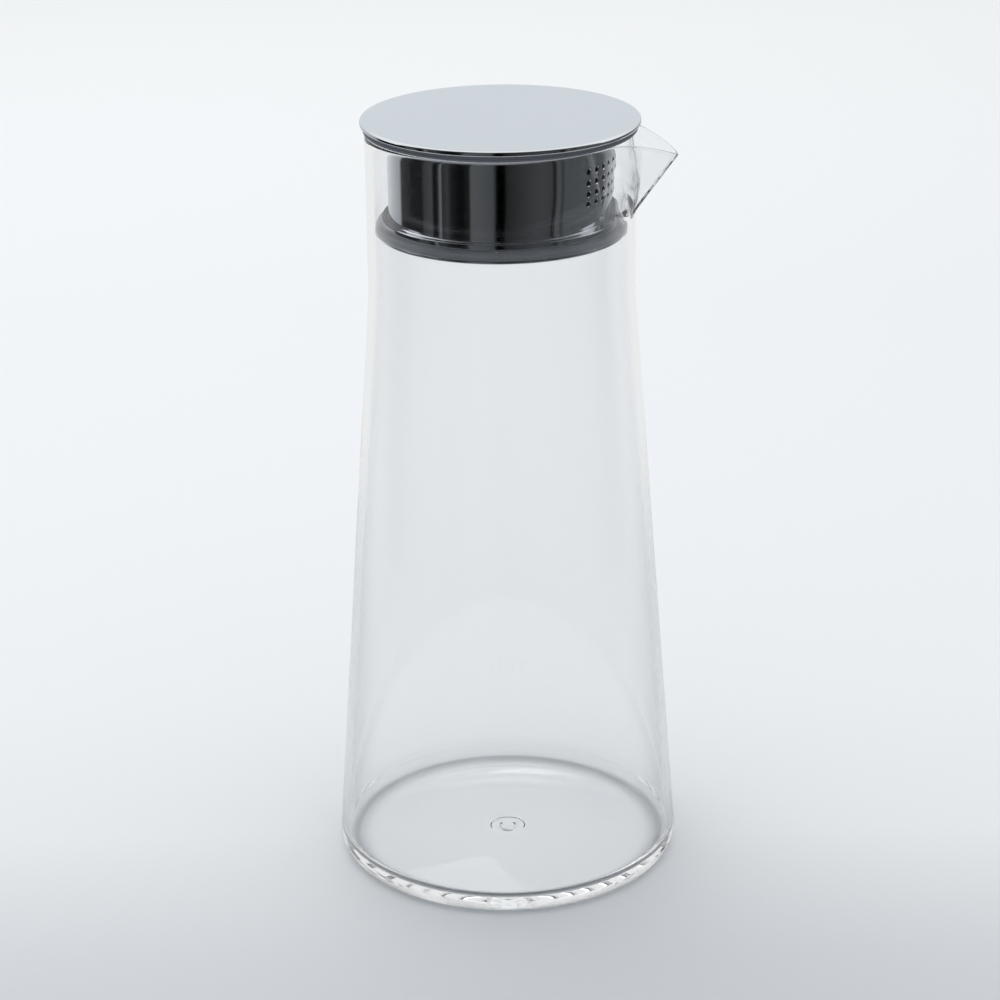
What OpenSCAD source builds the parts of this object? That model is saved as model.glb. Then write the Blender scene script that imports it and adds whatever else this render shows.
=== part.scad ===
// Clear plastic carafe with a drooping pointed spout and a plated lid that plugs into its neck.
// The origin is the centre of the foot on the standing plane, +Z is up and +X is the way it pours.

/* [Body] */
// Radius that the sloping side would reach on the standing plane
base_r = 57.1; // [54:0.1:60]
// Outer radius of the straight neck
neck_r = 42.25; // [41:0.05:44]
// Height where the slope turns into the straight neck
shoulder_z = 195; // [175:1:200]
// Height of the rim
rim_z = 246.3; // [240:0.1:260]
// Wall thickness of the side and the neck
wall = 2.25; // [2:0.05:2.5]
// Thickness of the floor at its centre
floor_t = 2.4; // [2.4:0.1:4]
// Radius of the rounded heel
heel_r = 4.5; // [3:0.1:6]
// Inner radius of the flat foot ring
foot_r = 46; // [40:0.5:49]
// Rise of the underside above the standing plane at the centre
punt_h = 1.4; // [1:0.1:3]
// Radius that blends the slope into the neck
shoulder_blend = 90; // [40:5:140]
// Radius of the moulding pip under the middle of the floor
gate_r = 2.4; // [2:0.1:3]
// Radius of the shallow ring round the pip
gate_ring_r = 5.5; // [4.5:0.1:7]

/* [Spout] */
// How far the tip stands out from the neck
spout_reach = 13.85; // [10:0.05:15]
// Half angle of the spout's mouth at the rim
spout_half = 22.4; // [18:0.1:26]
// Height of the rim above the root of the spout
spout_depth = 25.8; // [22:0.1:30]
// How far the tip hangs below the rim
spout_drop = 5.5; // [3:0.1:7]
// Power of the curve along which the lip falls to the tip
spout_curve = 1.43; // [1:0.01:1.8]
// Outward bulge of each cheek
spout_bulge = 1.4; // [0:0.1:2]
// Thickness of the cheeks
spout_wall = 1.8; // [1.5:0.1:2]

/* [Lid] */
// Radius of the cover
cover_r = 43.3; // [42.8:0.1:46]
// Thickness of the cover
cover_t = 1.6; // [1.4:0.1:2]
// Rounding of the cover's edge
cover_edge = 0.7; // [0.4:0.05:0.7]
// Radius of the core's plate under the cover
plate_r = 42.8; // [42.3:0.1:43.2]
// Thickness of the core's plate
plate_t = 1.8; // [1.6:0.1:2.2]
// Gap left between the rim and the lid
seat_gap = 0.3; // [0.2:0.05:0.5]
// Outer radius of the plated band
band_r = 35.4; // [34.5:0.1:36]
// Wall of the band
band_wall = 2; // [1.8:0.1:2.4]
// Length of the band below the plate
band_h = 28.4; // [26:0.1:32]
// Wall of the sleeves that locate the band
sleeve_wall = 2; // [1.5:0.1:2.4]
// Fit between the sleeves and the band
sleeve_fit = 0.05; // [0.02:0.01:0.1]

/* [Strainer] */
// Diameter of a hole
hole_d = 1.8; // [1.4:0.1:2.2]
// Rows of holes
hole_rows = 4; // [3:1:4]
// Columns of holes
hole_columns = 9; // [7:1:11]
// Height from one row to the next
hole_pitch = 3.5; // [3:0.1:3.6]
// Angle from one column to the next
hole_turn = 6.8; // [5.5:0.1:7.5]
// Drop from the plate's underside to the middle of the holes
hole_drop = 13.5; // [13:0.1:15]

/* [Seal] */
// Radius of the plated lip above the seal
lip_r = 37.6; // [37:0.1:38]
// Height of the plated lip above the seal
lip_h = 1.7; // [1.4:0.1:2]
// Radius of the plated lip below the seal
lower_lip_r = 38.6; // [37.5:0.1:39]
// Height of the plated lip below the seal
lower_lip_h = 0.9; // [0.7:0.1:1.2]
// Clear height between the two lips
groove_h = 3.2; // [3:0.1:4]
// Clearance round the seal, at the neck and in its groove
seal_gap = 0.3; // [0.2:0.05:0.4]
// Rounding of the seal's outer edge
seal_edge = 0.9; // [0.5:0.1:1.1]

/* [Hidden] */
$fn = 128;

// Inner radius of the neck
bore_r = neck_r - wall;
// Fall of the side's radius for each millimetre of height
taper = (base_r - neck_r) / shoulder_z;
// Angle of the side from the vertical
lean = atan(taper);
// Centre of the rounded heel
heel_x = base_r - heel_r / cos(lean) - taper * heel_r;
// Height of the inner floor
floor_z = punt_h + floor_t;
// Radius between the floor and the side
floor_fillet = 5;
// Centre of that radius
floor_x = base_r - wall - taper * (floor_z + floor_fillet) - floor_fillet / cos(lean);
// Half the height over which the slope blends into the neck
blend_half = shoulder_blend * tan(lean / 2);
// Height of the pip and depth of the ring round it
gate_h = 0.8;
gate_dip = 0.5;
// Steps along a rounded edge, along the shoulder's blend and along the seal's edge
arc_steps = 10;
blend_steps = 4;
seal_steps = 6;
// Sides of a strainer hole
hole_sides = 32;
// How far a cutting solid runs past what it cuts
overshoot = 5;

// Where the lip of the spout meets the rounded rim, a little below its top
lip_sink = 0.7;
lip_start_z = rim_z - lip_sink;
// Height of the root of the spout
root_z = rim_z - spout_depth;
// Radius of the tip
tip_r = neck_r + spout_reach;
// Cut left by the cheeks' thickness along the edge where they meet
cheek_angle = atan2(neck_r * sin(spout_half), tip_r - neck_r * cos(spout_half));
keel_cut = spout_wall / sin(cheek_angle);
// Rise of the inner root over the outer one
root_rise = (keel_cut - wall) * (spout_depth - spout_drop) / spout_reach;
// Depth to which the spout's surfaces run into the wall of the neck
spout_sink = 0.6;
// Rows and columns of the spout's surfaces
spout_rows = 10;
spout_columns = 16;
// Depth behind the bore where the spout's solids close, and its radius
spout_tail = 8;
spout_back = bore_r - spout_tail;
// Share of the spout's height at its lowest row, a little above the root where the skins would meet
spout_first = 0.03;

// Underside of the core's plate, underside of the cover, and lower ends of the band and the lid
lid_z = rim_z + seat_gap;
cover_z = lid_z + plate_t;
band_bottom = lid_z - band_h;
carrier_bottom = band_bottom - groove_h - lower_lip_h;
// Inner radius of the band and radii of the sleeves
band_bore = band_r - band_wall;
sleeve_r = band_bore - sleeve_fit;
sleeve_bore = sleeve_r - sleeve_wall;
// Plain band between the holes and the sleeves
hole_margin = 0.8;
// Lengths of the sleeves above and below the holes
hole_reach = (hole_rows - 1) * hole_pitch / 2 + hole_d / 2 + hole_margin;
core_sleeve = hole_drop - hole_reach;
carrier_sleeve = band_h - hole_drop - hole_reach;
// Radius of the two beads round the edge of the core's plate
bead_r = plate_t / 4;
// Outer radius of the seal
seal_r = bore_r - seal_gap;

// Points of a circular arc round c from angle a to angle b
function arc(c, r, a, b, n = arc_steps) =
    [for (i = [0 : n]) let (q = a + (b - a) * i / n) c + r * [cos(q), sin(q)]];

// Section of the body's wall, outside first
function body_section() = concat(
    [[0, punt_h - gate_h], [gate_r, punt_h - gate_h], [gate_r + gate_dip, punt_h + gate_dip],
     [gate_ring_r, punt_h + gate_dip], [gate_ring_r + gate_dip, punt_h], [foot_r, 0]],
    arc([heel_x, heel_r], heel_r, -90, lean),
    arc([neck_r + shoulder_blend, shoulder_z + blend_half], shoulder_blend, 180 + lean, 180, blend_steps),
    arc([neck_r - wall / 2, rim_z - wall / 2], wall / 2, 0, 180),
    arc([bore_r + shoulder_blend, shoulder_z + blend_half], shoulder_blend, 180, 180 + lean, blend_steps),
    arc([floor_x, floor_z + floor_fillet], floor_fillet, lean, -90),
    [[0, floor_z]]);

// Plan of one row of the spout: t rises from the root to the lip and f runs from the crease to the keel
function cheek(t, f, neck, tip) =
    let (open = spout_half * sqrt(1 - pow(1 - t, 2)),
         crease = neck * [cos(open), sin(open)],
         keel = [neck + (tip - neck) * t, 0],
         out = [sin(cheek_angle), cos(cheek_angle)])
    crease * (1 - f) + keel * f + out * spout_bulge * t * 4 * f * (1 - f);

// Height of the lip at f, from the crease to the tip
function lip_z(f) = lip_start_z - (spout_drop - lip_sink) * pow(f, spout_curve);

// A point of a spout skin, with s from -1 at one crease through the keel to 1 at the other
function skin(t, s, neck, tip, root) =
    let (f = 1 - abs(s), p = cheek(t, f, neck, tip))
    [p.x, s < 0 ? -p.y : p.y, root + t * (lip_z(f) - root)];

// A solid bounded by a spout skin and closed at the back, carried up by extra above the lip
module spout_solid(neck, tip, root, extra) {
    rows = spout_rows + (extra > 0 ? 1 : 0);
    width = spout_columns + 2;
    points = [for (i = [0 : rows]) let (t = min(1, spout_first + (1 - spout_first) * i / spout_rows),
                                        up = i > spout_rows ? extra : 0)
        each concat(
            [for (j = [0 : spout_columns])
                skin(t, 2 * j / spout_columns - 1, neck, tip, root) + [0, 0, up]],
            [[spout_back, 0, root + t * (lip_start_z - root) + up]])];
    sides = [for (i = [0 : rows - 1]) for (j = [0 : width - 1])
        let (a = i * width + j, b = i * width + (j + 1) % width)
        each [[a, a + width, b], [b, a + width, b + width]]];
    top = rows * width;
    back = width - 1;
    caps = [for (j = [0 : spout_columns - 1])
        each [[back, j, j + 1], [top + back, top + j + 1, top + j]]];
    polyhedron(points, concat(sides, caps));
}

// One-piece clear body: tapered side, straight neck, foot ring and spout
module carafe_body() {
    color([0.93, 0.96, 0.98, 0.35])
        difference() {
            union() {
                rotate_extrude()
                    polygon(body_section());
                difference() {
                    spout_solid(neck_r - spout_sink, tip_r, root_z, 0);
                    translate([0, 0, root_z - overshoot])
                        cylinder(r = neck_r - wall / 2, h = spout_depth + 2 * overshoot);
                }
            }
            spout_solid(bore_r - spout_sink, tip_r - keel_cut, root_z + root_rise, overshoot);
        }
}

// Plated cover, a thin disc with a rounded edge
module lid_cover() {
    color([0.80, 0.82, 0.85])
        rotate_extrude()
            polygon(concat(
                [[0, cover_z]],
                arc([cover_r - cover_edge, cover_z + cover_edge], cover_edge, -90, 0),
                arc([cover_r - cover_edge, cover_z + cover_t - cover_edge], cover_edge, 0, 90),
                [[0, cover_z + cover_t]]));
}

// Plain core: a plate with two beads round its edge, and the sleeve that centres the top of the band
module lid_core() {
    color([0.38, 0.40, 0.44])
        rotate_extrude()
            polygon(concat(
                [[0, lid_z], [sleeve_bore, lid_z], [sleeve_bore, lid_z - core_sleeve],
                 [sleeve_r, lid_z - core_sleeve], [sleeve_r, lid_z]],
                arc([plate_r - bead_r, lid_z + bead_r], bead_r, -90, 90),
                arc([plate_r - bead_r, lid_z + 3 * bead_r], bead_r, -90, 90),
                [[0, cover_z]]));
}

// Plated band with the strainer holes towards the spout and the lip above the seal
module strainer_band() {
    color([0.78, 0.80, 0.83])
        difference() {
            rotate_extrude()
                polygon([
                    [band_bore, band_bottom], [lip_r, band_bottom], [lip_r, band_bottom + lip_h],
                    [band_r, band_bottom + lip_h], [band_r, lid_z], [band_bore, lid_z]]);
            for (row = [0 : hole_rows - 1])
                for (column = [0 : hole_columns - 1])
                    rotate([0, 0, (column - (hole_columns - 1) / 2) * hole_turn])
                        translate([band_bore - overshoot, 0,
                                   lid_z - hole_drop + (row - (hole_rows - 1) / 2) * hole_pitch])
                            rotate([0, 90, 0])
                                cylinder(d = hole_d, h = band_wall + 2 * overshoot, $fn = hole_sides);
        }
}

// Plated ring that closes the bottom of the band and holds the seal's lower side
module seal_carrier() {
    color([0.76, 0.78, 0.81])
        rotate_extrude()
            polygon([
                [sleeve_bore, carrier_bottom], [lower_lip_r, carrier_bottom],
                [lower_lip_r, carrier_bottom + lower_lip_h], [band_r, carrier_bottom + lower_lip_h],
                [band_r, band_bottom], [sleeve_r, band_bottom],
                [sleeve_r, band_bottom + carrier_sleeve], [sleeve_bore, band_bottom + carrier_sleeve]]);
}

// Translucent ring in the groove of the lid, with a rounded outer edge that wipes the neck
module plug_seal() {
    low = carrier_bottom + lower_lip_h + seal_gap;
    high = band_bottom - seal_gap;
    color([0.85, 0.87, 0.88, 0.7])
        rotate_extrude()
            polygon(concat(
                [[band_r + seal_gap, low]],
                arc([seal_r - seal_edge, low + seal_edge], seal_edge, -90, 0, seal_steps),
                arc([seal_r - seal_edge, high - seal_edge], seal_edge, 0, 90, seal_steps),
                [[band_r + seal_gap, high]]));
}

carafe_body();
lid_cover();
lid_core();
strainer_band();
seal_carrier();
plug_seal();
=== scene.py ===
"""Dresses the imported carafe: a clear plastic body and a plated lid with a strainer plug.

The pieces' sizes are in millimetres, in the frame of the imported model: the origin is the centre of the
foot, +Z is up and +X is the way the carafe pours. The studio's sizes and all meshes are in metres.
"""

from __future__ import annotations

import bisect
import logging
import math
from collections.abc import Callable, Mapping, Sequence
from dataclasses import dataclass
from enum import Enum
from typing import Any

import bmesh
import bpy
from mathutils import Matrix, Vector

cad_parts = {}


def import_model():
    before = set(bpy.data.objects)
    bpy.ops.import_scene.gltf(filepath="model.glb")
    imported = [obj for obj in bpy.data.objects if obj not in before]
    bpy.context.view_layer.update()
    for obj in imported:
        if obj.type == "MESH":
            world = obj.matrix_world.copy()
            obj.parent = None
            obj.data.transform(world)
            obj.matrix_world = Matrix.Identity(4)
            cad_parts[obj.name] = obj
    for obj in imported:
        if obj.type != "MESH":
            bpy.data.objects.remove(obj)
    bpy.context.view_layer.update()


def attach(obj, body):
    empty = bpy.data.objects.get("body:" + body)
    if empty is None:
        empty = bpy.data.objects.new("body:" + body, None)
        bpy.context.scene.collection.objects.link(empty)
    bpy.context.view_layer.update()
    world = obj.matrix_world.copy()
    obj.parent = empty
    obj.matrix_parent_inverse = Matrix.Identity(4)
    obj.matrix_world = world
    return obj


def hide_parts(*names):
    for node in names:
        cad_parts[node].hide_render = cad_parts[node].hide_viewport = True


LOG = logging.getLogger("carafe")

# One millimetre, in metres.
MM = 0.001
# Distance within which the points of a mesh are merged, in metres.
WELD = 2e-6
# Difference below which two sizes count as the same.
NEARLY = 1e-6
# Length that keeps a division from failing, in metres.
TINY = 1e-12
# Share of a profile's side that one rounding may take.
MOST_OF_SIDE = 0.49
# How many times shiny surfaces may turn a path that counts as mirrored.
MIRROR_TURNS = 3
# Turn of the camera and its room about the carafe's axis, in radians.
HEADING = math.radians(14.3)

Point = tuple[float, float]
Colour = tuple[float, float, float, float]
Ring = list[Vector]


class Body(Enum):
    """Rigid bodies that the pieces ride on."""

    CARAFE = "carafe"
    SEAL = "seal"
    LID = "lid"


class Slot(Enum):
    """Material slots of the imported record."""

    CLEAR = "clear_plastic"
    COVER = "plated_cover"
    CORE = "core_plastic"
    BAND = "plated_band"
    RING = "plated_ring"
    SEAL = "seal_silicone"


class Wire:
    """A node's output that takes part in arithmetic."""

    def __init__(self, graph: Graph, socket: bpy.types.NodeSocket) -> None:
        """Keeps the graph and the socket."""
        self.graph = graph
        self.socket = socket

    def _math(self, operation: str, first: Any, second: Any) -> Wire:
        """Adds one Math node on two values."""
        return self.graph.node("ShaderNodeMath", {"operation": operation}, {0: first, 1: second})

    def __add__(self, other: Any) -> Wire:
        """Sum of this value and another."""
        return self._math("ADD", self, other)

    def __radd__(self, other: Any) -> Wire:
        """Sum of a plain number and this value."""
        return self._math("ADD", other, self)

    def __sub__(self, other: Any) -> Wire:
        """This value less another."""
        return self._math("SUBTRACT", self, other)

    def __rsub__(self, other: Any) -> Wire:
        """A plain number less this value."""
        return self._math("SUBTRACT", other, self)

    def __mul__(self, other: Any) -> Wire:
        """Product of this value and another."""
        return self._math("MULTIPLY", self, other)

    def __rmul__(self, other: Any) -> Wire:
        """Product of a plain number and this value."""
        return self._math("MULTIPLY", other, self)

    def __truediv__(self, other: Any) -> Wire:
        """This value divided by another."""
        return self._math("DIVIDE", self, other)

    def __gt__(self, other: Any) -> Wire:
        """One where this value is the larger, and nought elsewhere."""
        return self._math("GREATER_THAN", self, other)

    def __lt__(self, other: Any) -> Wire:
        """One where this value is the smaller, and nought elsewhere."""
        return self._math("LESS_THAN", self, other)


class Graph:
    """A node tree that is written as expressions."""

    def __init__(self, tree: bpy.types.NodeTree) -> None:
        """Empties the tree and keeps it."""
        tree.nodes.clear()
        self.tree = tree

    def node(
        self,
        kind: str,
        settings: Mapping[str, Any] | None = None,
        sockets: Mapping[int | str, Any] | None = None,
        output: int | str = 0,
    ) -> Wire:
        """Adds a node.

        Args:
            kind: The node's type name.
            settings: Its own settings, set first. "stops" fills a colour ramp.
            sockets: Values or wires for its inputs, by name or number.
            output: The output to give back.

        Returns:
            The chosen output as a wire.
        """
        made = self.tree.nodes.new(kind)
        for name, value in (settings or {}).items():
            if name == "stops":
                self._fill(made.color_ramp, value)
            else:
                setattr(made, name, value)
        for key, value in (sockets or {}).items():
            if isinstance(value, Wire):
                self.tree.links.new(value.socket, made.inputs[key])
            else:
                made.inputs[key].default_value = value
        return Wire(self, made.outputs[output]) if made.outputs else Wire(self, made.inputs[0])

    @staticmethod
    def _fill(ramp: bpy.types.ColorRamp, stops: Sequence[tuple[float, Colour]]) -> None:
        """Puts the stops into a colour ramp.

        Args:
            ramp: The ramp to fill.
            stops: Places from 0 to 1 with their colours, in rising order.
        """
        while len(ramp.elements) > 1:
            ramp.elements.remove(ramp.elements[-1])
        ramp.elements[0].position, ramp.elements[0].color = stops[0]
        for place, colour in stops[1:]:
            ramp.elements.new(place).color = colour

    def noise(self, place: Wire, scale: float, detail: float = 3.0, rough: float = 0.5) -> Wire:
        """Noise over a place.

        Args:
            place: Coordinates to read.
            scale: Features for each metre.
            detail: Octaves of finer noise.
            rough: Strength of the finer octaves.

        Returns:
            A value from about 0 to 1.
        """
        sockets = {"Vector": place, "Scale": scale, "Detail": detail, "Roughness": rough}
        return self.node("ShaderNodeTexNoise", {}, sockets)

    def ramp(self, value: Wire, low: float, high: float, start: float = 0.0, end: float = 1.0) -> Wire:
        """Maps a value smoothly from one span to another.

        Args:
            value: The value to map.
            low: Where the first span starts.
            high: Where the first span ends.
            start: Result at low.
            end: Result at high.

        Returns:
            The mapped value.
        """
        sockets = {0: value, 1: low, 2: high, 3: start, 4: end}
        return self.node("ShaderNodeMapRange", {"interpolation_type": "SMOOTHSTEP"}, sockets)

    def blend(self, share: Wire | float, first: Any, second: Any) -> Wire:
        """Mixes two colours.

        Args:
            share: How much of the second colour to take.
            first: The first colour.
            second: The second colour.

        Returns:
            The mixed colour.
        """
        mixer = {"data_type": "RGBA", "blend_type": "MIX"}
        return self.node("ShaderNodeMix", mixer, {0: share, 6: first, 7: second}, 2)

    def place(self) -> Wire:
        """Object coordinates, in metres in the carafe's frame."""
        return self.node("ShaderNodeTexCoord", output="Object")

    def bump(self, height: Wire, strength: float, distance: float) -> Wire:
        """A normal that follows a height.

        Args:
            height: The height over the surface, from about 0 to 1.
            strength: How strongly it shows.
            distance: The height that 1 stands for, in metres.

        Returns:
            The normal.
        """
        sockets = {"Strength": strength, "Distance": distance, "Height": height}
        return self.node("ShaderNodeBump", {}, sockets)

    def length(self, vector: Wire) -> Wire:
        """Length of a vector."""
        return self.node("ShaderNodeVectorMath", {"operation": "LENGTH"}, {0: vector}, "Value")

    def split(self, vector: Wire) -> tuple[Wire, ...]:
        """The three parts of a vector."""
        return tuple(self.node("ShaderNodeSeparateXYZ", {}, {0: vector}, axis) for axis in "XYZ")

    def in_room(self, vector: Wire) -> Wire:
        """A vector in the room's own axes, which HEADING turns from the carafe's."""
        sockets = {"Vector": vector, "Angle": -HEADING}
        return self.node("ShaderNodeVectorRotate", {"rotation_type": "Z_AXIS"}, sockets)

    def path(self, name: str) -> Wire:
        """One value of the light path."""
        return self.node("ShaderNodeLightPath", output=name)

    def mirrored(self) -> Wire:
        """One on a path that shiny surfaces have turned up to MIRROR_TURNS times, and nought elsewhere."""
        turns = self.path("Glossy Depth")
        return (turns > 0.5) * (turns < MIRROR_TURNS + 0.5)


@dataclass(frozen=True)
class Finish:
    """A surface that is made from nodes."""

    name: str

    def make(self) -> bpy.types.Material:
        """Makes the material.

        Returns:
            The material, ready to assign.
        """
        material = bpy.data.materials.new(self.name)
        material.use_nodes = True
        graph = Graph(material.node_tree)
        graph.node("ShaderNodeOutputMaterial", {}, {"Surface": self.surface(graph)})
        return material

    def surface(self, graph: Graph) -> Wire:
        """The shader of this finish."""
        raise NotImplementedError


@dataclass(frozen=True)
class ClearPlastic(Finish):
    """Moulded clear copolyester with a faint cool tint, soft flow waves and a trace of handling."""

    tint: Colour = (0.998, 0.999, 1.0, 1.0)
    touched: Colour = (0.99, 0.993, 0.995, 1.0)
    touch: float = 0.4
    shade: Colour = (0.62, 0.64, 0.66, 1.0)
    index: float = 1.42

    def surface(self, graph: Graph) -> Wire:
        """Refracting plastic that lets lamps through.

        Args:
            graph: The material's graph.

        Returns:
            The shader.
        """
        place = graph.place()
        flow = graph.noise(place, scale=28.0, detail=2.0)
        marks = graph.noise(place, scale=55.0, detail=4.0, rough=0.6)
        handled = graph.ramp(marks, low=0.5, high=0.75)
        sockets = {
            "Base Color": graph.blend(handled * self.touch, self.tint, self.touched),
            "Roughness": 0.0,
            "IOR": self.index,
            "Transmission Weight": 1.0,
            "Normal": graph.bump(flow, strength=0.05, distance=0.0004),
        }
        plastic = graph.node("ShaderNodeBsdfPrincipled", {}, sockets)
        lamp = graph.path("Is Shadow Ray")
        passing = graph.node("ShaderNodeBsdfTransparent", {}, {"Color": self.shade})
        return graph.node("ShaderNodeMixShader", {}, {0: lamp, 1: plastic, 2: passing})


@dataclass(frozen=True)
class BrightPlating(Finish):
    """Bright plating over moulded plastic, with smears of handling and fine hairline scratches.

    Inside bright_from, a radius in millimetres, the colour darkens to a painted shade for the shade in the
    strainer holes and inside the band, and the surface is rougher.
    """

    colour: Colour = (0.80, 0.815, 0.84, 1.0)
    worn: Colour = (0.72, 0.735, 0.76, 1.0)
    wear: float = 0.5
    polish: float = 0.03
    smear: float = 0.06
    scratch: float = 0.006
    stretch: float = 14.0
    bright_from: float = 0.0
    fade: float = 0.2
    # Colour of the painted shade inside bright_from.
    painted_inner_shade: Colour = (0.05, 0.052, 0.058, 1.0)
    dullness: float = 0.3

    def surface(self, graph: Graph) -> Wire:
        """Mirror-like metal with uneven polish.

        Args:
            graph: The material's graph.

        Returns:
            The shader.
        """
        place = graph.place()
        marks = graph.noise(place, scale=60.0, detail=4.0, rough=0.6)
        smear = graph.ramp(marks, low=0.45, high=0.75)
        cloud = graph.noise(place, scale=22.0, detail=3.0)
        drawn = graph.node("ShaderNodeMapping", {}, {"Vector": place, "Scale": (1.0, 1.0, self.stretch)})
        hairline = graph.noise(drawn, scale=1400.0, detail=1.0)
        flat = graph.node(
            "ShaderNodeVectorMath", {"operation": "MULTIPLY"}, {0: place, 1: (1.0, 1.0, 0.0)}
        )
        # Painted shade: inside bright_from the colour fades to a dark one that stands for the shade in the
        # holes and inside the band.
        inner_shade_full, bright_from = (self.bright_from - self.fade) * MM, self.bright_from * MM
        inside = graph.ramp(graph.length(flat), inner_shade_full, bright_from, 1.0, 0.0)
        plate = graph.blend(cloud * self.wear, self.colour, self.worn)
        rough = self.polish + smear * self.smear + hairline * self.scratch + inside * self.dullness
        sockets = {
            "Base Color": graph.blend(inside, plate, self.painted_inner_shade),
            "Metallic": 1.0,
            "Roughness": rough,
            "Normal": graph.bump(hairline, strength=0.03, distance=0.00002),
        }
        return graph.node("ShaderNodeBsdfPrincipled", {}, sockets)


@dataclass(frozen=True)
class MouldedPlastic(Finish):
    """Plain satin moulded plastic with a fine spark-eroded grain."""

    colour: Colour = (0.115, 0.125, 0.15, 1.0)
    deep: Colour = (0.09, 0.098, 0.12, 1.0)
    satin: float = 0.34
    uneven: float = 0.12
    tooth: float = 0.06
    index: float = 1.52

    def surface(self, graph: Graph) -> Wire:
        """Satin plastic with a fine grain.

        Args:
            graph: The material's graph.

        Returns:
            The shader.
        """
        place = graph.place()
        grain = graph.noise(place, scale=2600.0, detail=2.0)
        cloud = graph.noise(place, scale=35.0, detail=3.0)
        sockets = {
            "Base Color": graph.blend(cloud, self.colour, self.deep),
            "Roughness": self.satin + cloud * self.uneven + grain * self.tooth,
            "IOR": self.index,
            "Normal": graph.bump(grain, strength=0.15, distance=0.0001),
        }
        return graph.node("ShaderNodeBsdfPrincipled", {}, sockets)


@dataclass(frozen=True)
class SealRubber(Finish):
    """Milky translucent silicone with a soft bloom on its surface."""

    colour: Colour = (0.72, 0.75, 0.79, 1.0)
    bloom: Colour = (0.80, 0.82, 0.85, 1.0)
    polish: float = 0.16
    dusty: float = 0.16
    index: float = 1.41
    clear: float = 0.85

    def surface(self, graph: Graph) -> Wire:
        """Rough, partly clear rubber.

        Args:
            graph: The material's graph.

        Returns:
            The shader.
        """
        place = graph.place()
        dust = graph.noise(place, scale=140.0, detail=4.0, rough=0.6)
        grain = graph.noise(place, scale=3200.0, detail=1.0)
        sockets = {
            "Base Color": graph.blend(dust, self.colour, self.bloom),
            "Roughness": self.polish + dust * self.dusty,
            "IOR": self.index,
            "Transmission Weight": self.clear,
            "Normal": graph.bump(grain, strength=0.1, distance=0.0001),
        }
        return graph.node("ShaderNodeBsdfPrincipled", {}, sockets)


@dataclass(frozen=True)
class Corner:
    """A corner of a turned profile, with the radius that rounds it."""

    r: float
    z: float
    rounding: float = 0.0


def trace(corners: Sequence[Corner], closed: bool = False, step: float = 7.5) -> list[Point]:
    """Draws a profile with its corners rounded.

    Args:
        corners: The corners in order.
        closed: Whether the last corner joins the first.
        step: Largest turn between two points of a rounding, in degrees.

    Returns:
        Points of the profile.
    """
    points: list[Point] = []
    count = len(corners)
    for i, corner in enumerate(corners):
        here = Vector((corner.r, corner.z))
        at_end = not closed and i in (0, count - 1)
        if at_end or corner.rounding <= 0.0:
            points.append((corner.r, corner.z))
            continue
        before, after = corners[i - 1], corners[(i + 1) % count]
        back, ahead = Vector((before.r, before.z)) - here, Vector((after.r, after.z)) - here
        half = back.angle(ahead) / 2.0
        reach = min(corner.rounding / math.tan(half), MOST_OF_SIDE * min(back.length, ahead.length))
        radius = reach * math.tan(half)
        start = here + back.normalized() * reach
        middle = here + (back.normalized() + ahead.normalized()).normalized() * (radius / math.sin(half))
        spoke = start - middle
        turn = math.pi - 2.0 * half
        sign = math.copysign(1.0, back.x * ahead.y - back.y * ahead.x)
        steps = max(2, math.ceil(math.degrees(turn) / step))
        for k in range(steps + 1):
            angle = -sign * turn * k / steps
            c, s = math.cos(angle), math.sin(angle)
            points.append((middle.x + spoke.x * c - spoke.y * s, middle.y + spoke.x * s + spoke.y * c))
    return points


def refine(points: Sequence[Point], longest: float, closed: bool = False) -> list[Point]:
    """Splits long straight runs of a profile, so that shading stays true next to roundings.

    Args:
        points: The profile.
        longest: Longest run to leave.
        closed: Whether the last point joins the first.

    Returns:
        The profile with more points.
    """
    ends = list(points[1:]) + ([points[0]] if closed else [])
    split: list[Point] = []
    for start, end in zip(points, ends):
        parts = max(1, math.ceil(math.dist(start, end) / longest))
        (r, z), (end_r, end_z) = start, end
        split += [(r + (end_r - r) * k / parts, z + (end_z - z) * k / parts) for k in range(parts)]
    return split if closed else split + [points[-1]]


def turned_rings(points: Sequence[Point], angles: Sequence[float]) -> list[Ring]:
    """Turns a profile round the axis.

    Args:
        points: The profile, in millimetres.
        angles: Where its copies stand, in radians.

    Returns:
        One ring for each point of the profile, in metres.
    """
    return [[Vector((r * math.cos(a), r * math.sin(a), z)) * MM for a in angles] for r, z in points]


def ease(share: float) -> float:
    """Rises smoothly from 0 to 1."""
    held = min(max(share, 0.0), 1.0)
    return held * held * (3.0 - 2.0 * held)


def even_angles(columns: int) -> list[float]:
    """Angles that divide a full turn evenly."""
    return [2.0 * math.pi * k / columns for k in range(columns)]


def skin(
    rings: Sequence[Ring], loop: bool, gap: Callable[[int, int], bool] | None = None
) -> bmesh.types.BMesh:
    """Joins rings of points into a surface.

    Args:
        rings: Rings with the same number of points.
        loop: Whether the last ring joins the first.
        gap: Says which faces, by ring and column, to leave out.

    Returns:
        The mesh, with doubles merged and faces pointing outwards.
    """
    mesh = bmesh.new()
    rows = [[mesh.verts.new(point) for point in ring] for ring in rings]
    columns = len(rows[0])
    for i in range(len(rows) if loop else len(rows) - 1):
        low, high = rows[i], rows[(i + 1) % len(rows)]
        for j in range(columns):
            if gap is None or not gap(i, j):
                k = (j + 1) % columns
                mesh.faces.new((low[j], low[k], high[k], high[j]))
    settle(mesh)
    return mesh


def settle(mesh: bmesh.types.BMesh) -> None:
    """Merges a mesh's doubles and turns its faces outwards."""
    bmesh.ops.remove_doubles(mesh, verts=mesh.verts, dist=WELD)
    bmesh.ops.recalc_face_normals(mesh, faces=mesh.faces)


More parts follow.
